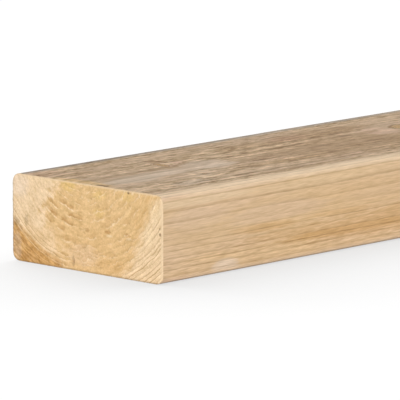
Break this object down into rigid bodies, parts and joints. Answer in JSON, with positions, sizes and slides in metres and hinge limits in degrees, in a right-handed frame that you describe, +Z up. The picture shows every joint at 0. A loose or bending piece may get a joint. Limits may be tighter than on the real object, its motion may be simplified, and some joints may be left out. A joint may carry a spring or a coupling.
{
  "type": "wooden batten",
  "caption": "Straight planed softwood batten of rectangular section with rounded long edges and square-sawn ends, used as framing or studwork timber.",
  "frame": {"origin": "middle of the broad face that the batten lies on, halfway between the sawn ends", "axes": "+X along the grain, from the sawn end shown in the picture to the far end; +Y across the width; +Z up through the thickness"},
  "size_m": [1.8, 0.089, 0.038],
  "materials": {
    "softwood": "planed, bare"
  },
  "bodies": {
    "root": {"batten": "softwood"}
  },
  "joints": []
}
